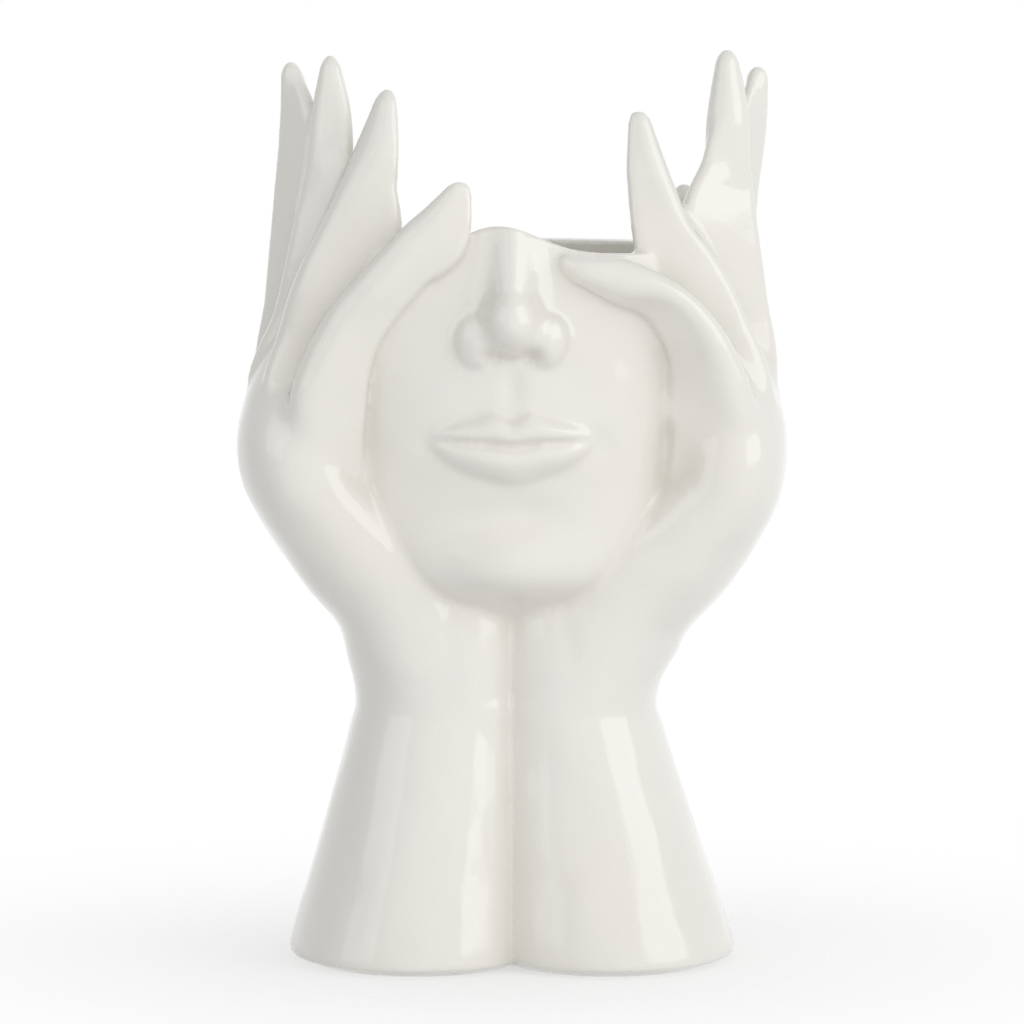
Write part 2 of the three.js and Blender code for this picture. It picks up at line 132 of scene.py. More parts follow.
noseBase = heights["chin"] + face["lowerThird"]
noseTip = noseBase + face["lowerThird"] / 6
noseHalf = face["width"] / 8
mouthHeight = noseBase - face["lowerThird"] / 3
mouthHalf = 1.5 * noseHalf
chinFold = mouthHeight - face["lowerThird"] / 3


def noseRelief(x, z):
    side = np.abs(x)
    proud = face["noseProud"]
    tip = proud * dome(x, z, 0, noseTip, 0.64 * noseHalf, 11.5) ** 1.3
    climb = (z - noseTip) / (heights["rim"] - noseTip)
    ridge = 0.85 - 0.2 * np.maximum(0, climb)
    bridge = easeStep(climb, -0.4, 0.3) * proud * ridge * bump(x, 0, 0, 0, 0.5 * noseHalf, 1)
    wing = 0.55 * proud * dome(side, z, 0.64 * noseHalf, noseBase + 7, 0.42 * noseHalf, 9) ** 1.2
    slope = 0.25 * proud * bump(x, z, 0, noseTip + 4, noseHalf, 16)
    nostril = 3 * bump(side, z, 0.36 * noseHalf, noseBase + 2, 3, 2)
    lift = 0.8  # the fillets raise the bare cheeks as well
    return slope + blend(blend(tip, bridge, 7), wing, 6) - nostril - lift


def mouthRelief(x, z):
    side = np.minimum(1, np.abs(x) / mouthHalf)
    narrow = 1 - side * side
    line = mouthHeight - 0.9 * bump(x, 0, 0, 0, 7, 1) + 1.2 * side * side
    bow = 1 + 0.2 * bump(np.abs(x), 0, 6, 0, 4, 1) - 0.12 * bump(x, 0, 0, 0, 3, 1)
    upper = (z - line) / (face["upperLip"] * bow * narrow**0.75 + 0.5)
    lower = (line - z) / (face["lowerLip"] * narrow**0.6 + 0.5)
    across = np.clip(np.maximum(upper, lower), 0, 1)
    roll = 1.37 * face["lipProud"] * narrow**0.6 * (1 - np.exp(-5 * across)) * (1 - across**2)
    mound = face["mouthProud"] * bump(x, z, 0, mouthHeight + 3, 1.15 * mouthHalf, 24)
    corner = bump(np.abs(x), z, mouthHalf, mouthHeight, 5, 5)
    groove = bump(x, z, 0, (noseBase + mouthHeight + face["upperLip"]) / 2, 3.4, 7)
    return roll + mound - corner - 1.2 * groove


def chinRelief(x, z):
    chin = face["chinProud"] * bump(x, z, 0, heights["chin"] + 12, 21, 15)
    return chin - 2.2 * bump(x, z, 0, chinFold + 2, 18, 6)


# Head

head = {
    "halfWidth": 60,
    "front": 38,
    "back": 48,
    "frontSquareness": 3.4,
    "faceNarrow": 0.1,
    "narrowFrom": 138,
    "narrowFull": 166,
    "backSquareness": 2.4,
    "belowChin": 15,
    "rimFall": 1.2,
    "rimRise": 9,
    "rimRiseAt": -4,
    "wall": 6,
    "room": 2.5,
    "splitBehind": 4,
    "sides": 400,
    "levels": 190,
    "pastRim": 1.1,
    "closeIn": 5,
    "dishDrop": 1200,
    "roomRise": 25,
    "roomSides": 200,
    "roomLevels": 120,
    "hollowFrom": 0.1,
    "hollowLip": 0.02,
    "hollowRise": 75,
    "hollowSides": 120,
    "hollowLevels": 90,
}


# Height, half width, front and back from the bottom of the head to its rim.
def headRows():
    chin, rim, knuckles = heights["chin"], heights["rim"], heights["knuckles"]
    jaw = knuckles - chin
    half, front, back = head["halfWidth"], head["front"], head["back"]
    return [
        [chin - head["belowChin"], 0.34 * half, 0.3 * front, 0.56 * back],
        [chin - 3, 0.46 * half, 0.7 * front, 0.74 * back],
        [chin + 0.12 * jaw, 0.62 * half, front, 0.85 * back],
        [chin + 0.42 * jaw, 0.82 * half, front, 0.95 * back],
        [chin + 0.85 * jaw, 0.95 * half, 1.04 * front, back],
        [(knuckles + rim) / 2, half, 1.02 * front, back],
        [rim, half, 0.96 * front, 0.97 * back],
    ]


def headPoints(angle, share, inset, withFace):
    height, half, front, back = through(headRows(), share).T
    squareness = np.where(np.sin(angle) < 0, head["frontSquareness"], head["backSquareness"])
    x, across = roundSquare(angle, squareness)
    narrow = head["faceNarrow"] * easeStep(-across, 0, 0.6)
    narrow = narrow * easeStep(height, head["narrowFrom"], head["narrowFull"])
    x = (half - inset) * x * (1 - narrow)
    depth = np.where(across < 0, front, back) - inset
    rise = np.where(across < 0, head["rimRise"] * bump(x, 0, head["rimRiseAt"], 0, noseHalf, 1), 0)
    fall = head["rimFall"] * (1 - across) / 2
    z = height + (rise - fall) * easeStep(height, noseTip, heights["rim"])
    y = across * depth
    if withFace:
        relief = noseRelief(x, z) + mouthRelief(x, z) + chinRelief(x, z)
        y = y - np.where(across < 0, relief * easeStep(-across, 0, 0.5), 0)
    return np.column_stack([x, y, z])


# Past the rim the head closes over in a shallow dish, so that the hollow cuts a clean lip.
def placeHead(angle, share):
    climb = share * head["pastRim"]
    past = np.maximum(0, climb - 1)
    points = headPoints(angle, np.minimum(climb, 1), 0, True)
    points[:, :2] *= (1 - head["closeIn"] * past)[:, None]
    points[:, 2] -= head["dishDrop"] * past**2
    return points


# Room for the head's own two shells, a little larger than the head.
def placeHeadRoom(angle, share):
    climb = share * head["pastRim"]
    points = headPoints(angle, np.minimum(climb, 1), -head["room"], True)
    points[:, 2] += head["roomRise"] * np.maximum(0, climb - 1)
    return points


def placeHeadHollow(angle, share):
    climb = head["hollowFrom"] + share
    lip = head["hollowLip"]
    points = headPoints(angle, np.minimum(climb, 1), head["wall"], False)
    points[:, :2] *= (1 - head["closeIn"] * np.maximum(0, climb - (1 + lip)))[:, None]
    points[:, 2] += head["hollowRise"] * np.clip(climb - 1, 0, lip)
    return points


# Arms, from the foot to the knuckles

arm = {
    "baseReach": 71,
    "baseHalfDepth": 56,
    "baseEdge": 6,
    "baseOverlap": 10,
    "wristHalfDepth": 36,
    "wristOverlap": 7,
    "handReach": 88,
    "handHalfBreadth": 38,
    "squareness": 2.2,
    "seamWall": 3,
    "hollowFrom": 0.17,
    "hollowLength": 0.36,
    "hollowSides": 80,
    "hollowLevels": 60,
    "sides": 140,
    "levels": 170,
    "heelLevels": 40,
}

hands = {
    "left": {
        "sign": -1,
        "wristReach": 50.5,
        "heelHalfThickness": 23.5,
        "fullness": 0.61,
        "handHalfThickness": 20.5,
    },
    "right": {
        "sign": 1,
        "wristReach": 47,
        "heelHalfThickness": 25.5,
        "fullness": 0.67,
        "handHalfThickness": 18.5,
    },
}

wristShare = 5 / 13
heelShare = 6 / 13


# Reach of the spine, behind the middle, height, half thickness and half depth.
def armRows(hand):
    foot = (arm["baseReach"] - arm["baseOverlap"]) / 2
    footHalf = (arm["baseReach"] + arm["baseOverlap"]) / 2
    wrist = (hand["wristReach"] - arm["wristOverlap"]) / 2
    wristHalf = (hand["wristReach"] + arm["wristOverlap"]) / 2
    shin = foot + 0.42 * (wrist - foot)
    shinHalf = footHalf + 0.42 * (wristHalf - footHalf)
    deep, wristDeep, edge = arm["baseHalfDepth"], arm["wristHalfDepth"], arm["baseEdge"]
    low, rise = heights["wrist"], heights["knuckles"] - heights["wrist"]
    thick, broad = hand["handHalfThickness"], arm["handHalfBreadth"]
    heel, full = hand["heelHalfThickness"], hand["fullness"]
    palm = arm["handReach"] - thick
    lean = palm - wrist
    return [
        [foot, 0, 0, footHalf - edge, deep - edge],
        [foot, 0, 0.3 * edge, footHalf - 0.3 * edge, deep - 0.3 * edge],
        [foot, 0, edge, footHalf, deep],
        [shin, 0, 0.42 * low, shinHalf, deep + 0.45 * (wristDeep - deep)],
        [wrist + 0.8, 0, 0.84 * low, wristHalf + 1.2, 1.06 * wristDeep],
        [wrist, 0, low, wristHalf, wristDeep],
        [wrist + 0.275 * lean, -1, low + 0.32 * rise, heel, wristDeep],
        [wrist + full * lean, -2, low + 0.51 * rise, (heel + thick) / 2, 0.97 * broad],
        [wrist + (full + 0.27) * lean, -3, low + 0.68 * rise, thick, broad],
        [palm, -3, low + 0.81 * rise, thick, broad],
        [palm, -3, low + 0.94 * rise, 0.92 * thick, 0.86 * broad],
        [palm - 2, -1, low + 1.07 * rise, 0.76 * thick, 0.68 * broad],
        [palm - 7, 0, low + 1.22 * rise, 0.54 * thick, 0.52 * broad],
        [palm - 13, 1, low + 1.38 * rise, 0.3 * thick, 0.36 * broad],
    ]


def armPoints(hand, angle, share, grow):
    rows = armRows(hand)
    reach, behind, height, thick, deep = through(rows, share).T
    ahead = through(rows, np.minimum(1, share + 0.01)) - through(rows, np.maximum(0, share - 0.01))
    lean = np.arctan2(ahead[:, 0], ahead[:, 2]) * easeStep(share, wristShare, heelShare)
    out, back = roundSquare(angle, arm["squareness"])
    out, back = (thick + grow) * out, (deep + grow) * back
    x = hand["sign"] * (reach + out * np.cos(lean))
    return np.column_stack([x, behind + back, height - out * np.sin(lean)])


def placeArm(hand):
    return lambda angle, share: armPoints(hand, angle, share, 0)


# The wrist's section carried up to the chin and closed there: the heel of the hand.
def placeHeel(hand):
    rows = [[0, 1], [0.45, 0.99], [0.85, 0.92], [1.15, 0.78], [1.35, 0.5]]

    def place(angle, share):
        up, size = through(rows, share).T
        reach = (hand["wristReach"] - arm["wristOverlap"]) / 2
        half = (hand["wristReach"] + arm["wristOverlap"]) / 2
        out, back = roundSquare(angle, arm["squareness"])
        out, back = half * out, arm["wristHalfDepth"] * back
        z = heights["wrist"] + up * (heights["chin"] - heights["wrist"])
        return np.column_stack([hand["sign"] * size * (reach + out), size * back, z])

    return place


def placeArmHollow(hand):
    def place(angle, share):
        along = arm["hollowFrom"] + arm["hollowLength"] * share
        points = armPoints(hand, angle, along, -head["wall"])
        points[:, 0] = hand["sign"] * np.maximum(arm["seamWall"], hand["sign"] * points[:, 0])
        points[share < 0.001, 2] = foot["thickness"]
        return points

    return place


# Clay packed between the head and each hand, so that no deep gap is left there.

web = {
    "out": 55.5,
    "behind": 2.5,
    "low": 118,
    "high": 212,
    "halfThickness": 9.5,
    "halfDepth": 29.5,
    "squareness": 4,
    "bluntness": 0.4,
}


def placeWeb(hand):
    def place(angle, share):
        size = np.maximum(0.02, np.sin(math.pi * share)) ** web["bluntness"]
        out, back = roundSquare(angle, web["squareness"])
        x = web["out"] + size * web["halfThickness"] * out
        y = web["behind"] + size * web["halfDepth"] * back
        return np.column_stack([hand["sign"] * x, y, web["low"] + share * (web["high"] - web["low"])])

    return place


# Foot plates: the bottom's outline set in by a ledge, with softened edges.

foot = {
    "thickness": 7,
    "ledge": 11,
    "gap": 0.3,
    "edge": 0.8,
    "sides": 120,
    "levels": 5,
}


def placeFootPlate(hand, gap):
    top = foot["thickness"] - foot["gap"]
    rows = [[0, 1], [0.3, 0.3], [1, 0], [top - 1, 0], [top - 0.3, 0.3], [top, 1]]

    def place(angle, share):
        height, inset = through(rows, share).T
        grow = arm["baseEdge"] - foot["ledge"] + gap
        grow = grow - (0 if gap else foot["edge"] * np.clip(inset, 0, 1))
        points = armPoints(hand, angle, np.zeros(len(angle)), grow)
        inner = arm["seamWall"] + foot["ledge"] / 2 - gap
        points[:, 0] = hand["sign"] * np.maximum(inner, hand["sign"] * points[:, 0])
        points[:, 2] = height + (gap + 0.1) * np.sign(share - 0.5) if gap else height
        return points

    return place


# Fingers. A path runs from the root in the palm, past the knuckle, to the tip.
# A point is outside the head's side, behind the middle and above the knuckles.
# Facing is where the finger's back looks, in degrees from the side towards the front.

fingers = {
    "leftLittle": {
        "path": [[-12, -16, -46], [-1, -33, -8], [-8.7, -36.5, 21],
                 [-26, -39.5, 43], [-36.2, -40, 53.9], [-44.7, -39, 69.4]],
        "thick": [7, 10.6, 7.8, 6.8, 5.2, 2.8],
        "broad": [7, 12, 10, 8.6, 8.4, 2.6],
        "flank": [0, 9, 7, 6.2, 8.4, 2],
        "slope": [0, 0.35, 0.25, 0.2, 0.2, 0],
        "facing": 65,
    },
    "leftRing": {
        "path": [[-10, -10, -46], [9, -21, -4], [2.1, -22, 20],
                 [-3, -24, 35], [-11, -25, 58], [-17.5, -22, 80], [-20.8, -19, 98]],
        "thick": [7, 8.8, 8.9, 8.8, 6.5, 4.8, 2.2],
        "broad": [7, 9.6, 12.5, 13, 10.3, 8, 3],
        "flank": [0, 11, 15, 18, 11.6, 2, 1],
        "slope": [0.5, 0.5, 0.5, 0.5, 0.5, 0.5, 0.5],
        "facing": 45,
    },
    "leftMiddle": {
        "path": [[-10, 0, -46], [14, -5, -3], [6, -8, 24],
                 [1.3, -10, 48], [-1.2, -9, 70], [-2.9, -8, 88], [-2.2, -6, 108.4]],
        "thick": [7, 9.5, 8.8, 8.2, 6.6, 6.6, 2.5],
        "broad": [7, 10.8, 11.4, 10.9, 9.8, 7.6, 3.1],
        "flank": [0, 11, 14, 15.5, 8, 4, 0],
        "slope": [0.5, 0.5, 0.5, 0.5, 0.5, 0.5, 0.5],
        "facing": 20,
    },
    "leftIndex": {
        "path": [[-10, 14, -46], [12.7, 11, -2], [11.4, 9, 30],
                 [9.2, 7, 62], [8.2, 7, 86], [11, 8, 106]],
        "thick": [7, 9.5, 8, 7.2, 6.2, 2.8],
        "broad": [7, 9.6, 10.2, 9.1, 6.5, 3.4],
        "flank": [0, 9, 13, 14, 9, 0],
        "slope": [0.5, 0.5, 0.5, 0.5, 0.5, 0.5],
        "facing": 0,
    },
    "leftThumb": {
        "path": [[-20, 14, -62], [-3, 29, -30], [1, 36, 2], [-3, 35, 36], [-6, 33, 62]],
        "thick": [7, 11.5, 10, 8, 3.4],
        "broad": [7, 13, 11, 9, 3.4],
        "flank": [0, 0, 0, 0, 0],
        "slope": [0.5, 0.5, 0.5, 0.5, 0.5],
        "facing": -70,
    },
    "rightLittle": {
        "path": [[-9, -16, -46], [5.5, -32, -8], [1, -36, 16],
                 [-9.6, -38.5, 31.5], [-24.8, -41, 38], [-38.2, -42.5, 42], [-45.3, -40, 45.7]],
        "thick": [7, 9, 8.2, 7, 5.6, 3.8, 2],
        "broad": [7, 12.5, 8.4, 5.8, 7.2, 4.5, 1.9],
        "flank": [0, 10, 6.5, 5.6, 3.2, 2.7, 0],
        "slope": [0, 1, 1.2, 0.8, 0.4, 0.3, 0],
        "facing": 65,
    },
    "rightRing": {
        "path": [[-10, -10, -46], [12, -21, -3], [5.4, -22, 22],
                 [-1.8, -24, 38], [-10.7, -25, 52], [-16.1, -23, 68], [-20.3, -20, 91.1]],
        "thick": [7, 9.6, 8.4, 8.2, 7.6, 6.7, 2.8],
        "broad": [7, 11.5, 9.1, 8.2, 7.3, 6.5, 3.1],
        "flank": [0, 11, 14, 15, 8.2, 4.4, 1.5],
        "slope": [0.5, 0.5, 0.5, 0.5, 0.5, 0.5, 0.5],
        "facing": 45,
    },
    "rightMiddle": {
        "path": [[-10, 0, -46], [14, -5, -3], [11.2, -8, 30],
                 [8.4, -9, 60], [7.9, -8, 75], [8.5, -7, 90], [8.2, -5, 110.2]],
        "thick": [7, 9.6, 8.8, 7.9, 7.2, 6.5, 3],
        "broad": [7, 10.8, 11.5, 9.7, 8.7, 7.3, 3.4],
        "flank": [0, 11, 15.6, 15, 5.8, 0, 0],
        "slope": [0.5, 0.5, 0.5, 0.5, 0.5, 0.5, 0.5],
        "facing": 20,
    },
    "rightIndex": {
        "path": [[-10, 14, -46], [12, 11, -2], [10, 9, 30],
                 [12, 8, 60], [16.9, 9, 86], [18.8, 10, 104.5]],
        "thick": [7, 9.5, 7.8, 6.6, 4.7, 3.2],
        "broad": [7, 9.6, 9.4, 8.3, 6, 3.4],
        "flank": [0, 9, 13, 14, 9, 0],
        "slope": [0.5, 0.5, 0.5, 0.5, 0.5, 0.5],
        "facing": 0,
    },
    "rightThumb": {
        "path": [[-20, 14, -62], [-3, 29, -30], [1, 36, 2], [-3, 35, 36], [-4.5, 33, 66]],
        "thick": [7, 11.5, 10, 8, 3.4],
        "broad": [7, 13, 11, 9, 3.4],
        "flank": [0, 0, 0, 0, 0],
        "slope": [0.5, 0.5, 0.5, 0.5, 0.5],
        "facing": -70,
    },
}

tipShare = 0.97
tipCrowding = 1.7
knuckleShare = 0.36
fingerRoom = 2.5
ridgeIn = 0.4
ridgeFull = 12
flankSize = 3
fingerSides = 48
fingerLevels = 90
roomLevels = 70


# Even steps along a finger's curve, which runs through the points of its path, and
# the share of the way at which each point lies.
def fingerSpine(finger, count=400):
    rows = np.array(finger["path"], float) + [head["halfWidth"], 0, heights["knuckles"]]
    rows = np.vstack([2 * rows[0] - rows[1], rows, 2 * rows[-1] - rows[-2]])
    gaps = np.sqrt(np.linalg.norm(np.diff(rows, axis=0), axis=1))
    t = np.linspace(0, 1, 60)[:, None]
    dense = []
    for i in range(1, len(rows) - 2):
        before, start, end, after = rows[i - 1:i + 3]
        a, b, c = gaps[i - 1:i + 2]
        leave = ((start - before) / a - (end - before) / (a + b) + (end - start) / b) * b
        arrive = ((end - start) / b - (after - start) / (b + c) + (after - end) / c) * b
        dense.append(start + leave * t + (3 * (end - start) - 2 * leave - arrive) * t**2
                     + (2 * (start - end) + leave + arrive) * t**3)
    dense = np.vstack(dense)
    walked = np.append(0, np.cumsum(np.linalg.norm(np.diff(dense, axis=0), axis=1)))
    even = np.linspace(0, walked[-1], count)
    spine = np.column_stack([np.interp(even, walked, dense[:, i]) for i in range(3)])
    return spine, np.append(walked[::60], walked[-1]) / walked[-1]


# Outline of a finger's section: an oval ridge at its outer edge, with a flank that slopes from
# there and runs in under the next finger.
def wedge(angle, thick, broad, flank, slope):
    ridge = broad * (1 - ridgeIn * np.clip(flank / ridgeFull, 0, 1))
    out = thick * np.cos(angle)
    across = broad - ridge + ridge * np.sin(angle)
    faceOut, faceAcross = np.cos(angle) / thick, np.sin(angle) / ridge
    length = np.hypot(faceOut, faceAcross)
    faceOut, faceAcross = faceOut / length, faceAcross / length
    edge = np.minimum(flankSize, 0.5 * np.minimum(thick, broad))
    edgeOut = -slope * flank + edge * faceOut
    edgeAcross = -np.maximum(flank, broad - edge) + edge * faceAcross
    onFlank = edgeOut * faceOut + edgeAcross * faceAcross > out * faceOut + across * faceAcross
    return np.where(onFlank, edgeOut, out), np.where(onFlank, edgeAcross, across)


def placeFinger(name, start=0, grow=0):
    finger = fingers[name]
    sign = -1 if name.startswith("left") else 1
    spine, stops = fingerSpine(finger)
    along = np.gradient(spine, axis=0)
    along /= np.linalg.norm(along, axis=1)[:, None]
    shares = np.linspace(0, 1, len(spine))
    facing = math.radians(finger["facing"])
    outward = np.array([math.cos(facing), -math.sin(facing), 0])

    def place(angle, level):
        share = start + (1 - start) * (1 - (1 - level) ** tipCrowding)
        middle = np.column_stack([np.interp(share, shares, spine[:, i]) for i in range(3)])
        ahead = np.column_stack([np.interp(share, shares, along[:, i]) for i in range(3)])
        broadWay = np.cross(ahead, outward)
        broadWay /= np.linalg.norm(broadWay, axis=1)[:, None]
        thickWay = np.cross(broadWay, ahead)
        rows = np.column_stack([finger[key] for key in ("thick", "broad", "flank", "slope")])
        stop = np.interp(share, stops, np.linspace(0, 1, len(stops)))
        thick, broad, flank, slope = through(rows, stop).T
        closing = np.maximum(0, (share - tipShare) / (1 - tipShare))
        size = np.maximum(0.04, np.sqrt(np.maximum(0, 1 - closing * closing)))
        thick, broad, flank = size * thick + grow, size * broad + grow, np.maximum(0, flank)
        out, across = wedge(angle, thick, broad, flank, slope)
        points = middle + thickWay * out[:, None] + broadWay * across[:, None]
        points += ahead * (2 * grow * (level > 0.999))[:, None]
        return points * [sign, 1, 1]

    return place


# Joining

skin = {
    "voxel": 0.8,
    "evenTurns": 100,
    "smoothTurns": 8,
    "poolTurns": 8,
    "creviceTurns": 1,
    "lastTurns": 3,
    "facePool": 0.12,
    "seamPool": 0.25,
}

# Where the glaze is evened, held back or let in, in millimetres from low to high.
zones = {
    "palmLow": (146, 160),
    "palmHigh": (168, 188),
    "palmOut": (50, 60),
    "rightHigher": 14,
    "faceFront": (30, 36),
    "faceHalf": (26, 34),
    "faceLow": (122, 130),
    "seamHalf": (5, 9),
    "seamHigh": (100, 112),
    "creviceIn": (36, 46),
    "creviceOut": (64, 70),
    "creviceFront": (6, 14),
    "creviceLow": (108, 122),
    "creviceHigh": (188, 202),
}


def objectOf(name, bms):
    joined = bmesh.new()
    for bm in bms:
        part = bpy.data.meshes.new("part")
        bm.to_mesh(part)
        joined.from_mesh(part)
        bpy.data.meshes.remove(part)
        bm.free()
    mesh = bpy.data.meshes.new(name)
    joined.to_mesh(mesh)
    joined.free()
    made = bpy.data.objects.new(name, mesh)
    bpy.context.collection.objects.link(made)
    return made


def settle(made):
    depsgraph = bpy.context.evaluated_depsgraph_get()
    mesh = bpy.data.meshes.new_from_object(made.evaluated_get(depsgraph), depsgraph=depsgraph)
    made.modifiers.clear()
    old, made.data = made.data, mesh
    bpy.data.meshes.remove(old)


def fuse(made):
    remesh = made.modifiers.new("fuse", "REMESH")
    remesh.mode = "VOXEL"
    remesh.voxel_size = skin["voxel"] * mm
    settle(made)


def cut(made, tool, operation):
    boolean = made.modifiers.new("cut", "BOOLEAN")
    boolean.solver = "MANIFOLD"
    boolean.operation = operation
    boolean.object = tool
    settle(made)


def pointsOf(mesh):
    points = np.empty(3 * len(mesh.vertices))
    mesh.vertices.foreach_get("co", points)
    return points.reshape(-1, 3)


def normalsOf(mesh):
    normals = np.empty(3 * len(mesh.vertices), np.float32)
    mesh.vertex_normals.foreach_get("vector", normals)
    return normals.reshape(-1, 3)


def putPoints(mesh, points):
    mesh.vertices.foreach_set("co", points.ravel())
    mesh.update()


def edgesOf(mesh):
    edges = np.empty(2 * len(mesh.edges), int)
    mesh.edges.foreach_get("vertices", edges)
    return edges.reshape(-1, 2)


# Steps from each point to the middle of its neighbours.
def pulls(points, edges, counts):
    sums = np.column_stack([
        np.bincount(edges[:, 0], points[edges[:, 1], i], len(points))
        + np.bincount(edges[:, 1], points[edges[:, 0], i], len(points)) for i in range(3)])
    return sums / counts[:, None] - points


# Smooths in place without shrinking: a step in and a slightly longer step out.
def smoothPoints(points, edges, counts, turns):
    for turn in range(turns):
        points += 0.5 * pulls(points, edges, counts)
        points -= 0.52 * pulls(points, edges, counts)


# The glaze evens out the clay and pools in the creases. Returns how thick it pooled, which later
# darkens the creases' colour: partly the thicker glaze's own tone, partly painted shade.
def flowGlaze(mesh):
    edges = edgesOf(mesh)
    counts = np.bincount(edges.ravel(), minlength=len(mesh.vertices))
    points = pointsOf(mesh)
    x, y, z = points.T / mm
    side = np.abs(x)
    level = z - np.where(x < 0, 0, zones["rightHigher"])
    even = easeStep(z, *zones["palmLow"]) * easeDown(level, *zones["palmHigh"])
    even = even * easeStep(side, *zones["palmOut"])
    for turn in range(skin["evenTurns"]):
        points += 0.5 * pulls(points, edges, counts) * even[:, None]
    smoothPoints(points, edges, counts, skin["smoothTurns"])
    putPoints(mesh, points)
    start = points.copy()
    thickness = np.zeros(len(points))
    onFace = easeStep(-y, *zones["faceFront"]) * easeDown(side, *zones["faceHalf"])
    onFace = onFace * easeStep(z, *zones["faceLow"])
    seam = easeDown(side, *zones["seamHalf"]) * easeDown(z, *zones["seamHigh"])
    flow = (1 - (1 - skin["facePool"]) * onFace) * (1 - (1 - skin["seamPool"]) * seam)
    crevice = easeStep(side, *zones["creviceIn"]) * easeDown(side, *zones["creviceOut"])
    crevice = crevice * easeStep(-y, *zones["creviceFront"]) * easeStep(z, *zones["creviceLow"])
    crevice = crevice * easeDown(z, *zones["creviceHigh"])
    for turn in range(skin["poolTurns"] + skin["creviceTurns"]):
        if turn == skin["poolTurns"]:
            flow, thickness = crevice, np.linalg.norm(points - start, axis=1) / mm
        normals = normalsOf(mesh)
        pull = pulls(points, edges, counts)
        rise = np.maximum(0, (pull * normals).sum(axis=1)) * flow
        points += (0.9 * rise)[:, None] * normals
        points += 0.25 * pulls(points, edges, counts) * (rise > 1e-6)[:, None] * flow[:, None]
        putPoints(mesh, points)
    smoothPoints(points, edges, counts, skin["lastTurns"])
    putPoints(mesh, points)
    return thickness


solids = [shapedTube(head["sides"], head["levels"], placeHead)]
for hand in hands.values():
    solids.append(shapedTube(arm["sides"], arm["levels"], placeArm(hand)))
    solids.append(shapedTube(arm["sides"], arm["heelLevels"], placeHeel(hand)))
    solids.append(shapedTube(fingerSides, arm["heelLevels"], placeWeb(hand)))
for name in fingers:
    solids.append(shapedTube(fingerSides, fingerLevels, placeFinger(name)))
vase = objectOf("vase", solids)
fuse(vase)
print("clay joined:", len(vase.data.polygons), "faces")

rooms = [shapedTube(head["hollowSides"], head["hollowLevels"], placeHeadHollow)]
for hand in hands.values():
    rooms.append(shapedTube(arm["hollowSides"], arm["hollowLevels"], placeArmHollow(hand)))
hollow = objectOf("hollow", rooms)
fuse(hollow)
cut(vase, hollow, "DIFFERENCE")
bpy.data.objects.remove(hollow)
fuse(vase)
print("hollow cut:", len(vase.data.polygons), "faces")


# Each corner keeps the whole skin's normal, so that no line shows where pieces meet.
def markSkin(mesh, poolAndShade):
    corners = np.empty(len(mesh.loops), int)
    mesh.loops.foreach_get("vertex_index", corners)
    flow = mesh.attributes.new("flow", "FLOAT_VECTOR", "CORNER")
    flow.data.foreach_set("vector", normalsOf(mesh)[corners].ravel())
    # How thick the glaze pooled, kept to tint the creases: partly the thicker glaze's tone, partly
    # painted crease shade.
    poolAndCreaseShade = mesh.attributes.new("poolAndCreaseShade", "FLOAT", "CORNER")
    poolAndCreaseShade.data.foreach_set("value", np.clip(poolAndShade / 2, 0, 1).astype(np.float32)[corners])
    outer = mesh.attributes.new("outer", "INT", "FACE")
    outer.data.foreach_set("value", np.ones(len(mesh.polygons), np.int32))


def shadeSkin(mesh):
    mesh.shade_smooth()
    flow = np.empty(3 * len(mesh.loops), np.float32)
    mesh.attributes["flow"].data.foreach_get("vector", flow)
    outer = np.empty(len(mesh.polygons), np.int32)
    mesh.attributes["outer"].data.foreach_get("value", outer)
    sides = np.empty(len(mesh.polygons), np.int32)
    mesh.polygons.foreach_get("loop_total", sides)
    flat = np.empty(3 * len(mesh.polygons), np.float32)
    mesh.polygon_normals.foreach_get("vector", flat)
    flat = np.repeat(flat.reshape(-1, 3), sides, axis=0)
    normals = np.where(np.repeat(outer, sides)[:, None] == 1, flow.reshape(-1, 3), flat)
    for name in ("flow", "outer"):
        mesh.attributes.remove(mesh.attributes[name])
    mesh.normals_split_custom_set(normals)


# A block with one face on the cut, as a tool.
def block(low, high):
    bm = bmesh.new()
    bmesh.ops.create_cube(bm, size=1)
    low, high = Vector(low), Vector(high)
    for v in bm.verts:
        v.co = mm * ((low + high) / 2 + v.co * (high - low))
    return bm


# What lies in the tool's room comes away as a piece of its own.
def takeOut(name, made, bm):
    tool = objectOf("tool", [bm])
    piece = bpy.data.objects.new(name, made.data.copy())
    bpy.context.collection.objects.link(piece)
    cut(piece, tool, "INTERSECT")
    cut(made, tool, "DIFFERENCE")
    bpy.data.objects.remove(tool)
    return piece


# A number for each point, the same all over one closed body.
def bodiesOf(mesh):
    edges = edgesOf(mesh)
    number = np.arange(len(mesh.vertices))
    while True:
        low = np.minimum(number[edges[:, 0]], number[edges[:, 1]])
        merged = number.copy()
        np.minimum.at(merged, edges[:, 0], low)
        np.minimum.at(merged, edges[:, 1], low)
        merged = merged[merged]
        if np.array_equal(merged, number):
            return number
        number = merged


def keepPoints(mesh, kept):
    if kept.all():
        return
    bm = bmesh.new()
    bm.from_mesh(mesh)
    bm.verts.ensure_lookup_table()
    bmesh.ops.delete(bm, geom=[bm.verts[i] for i in np.flatnonzero(~kept)], context="VERTS")
    bm.to_mesh(mesh)
    bm.free()


# Slivers that the cuts leave beside a piece join the piece that they touch, grown a little
# so that they hold.
sliverGrow = 1.15


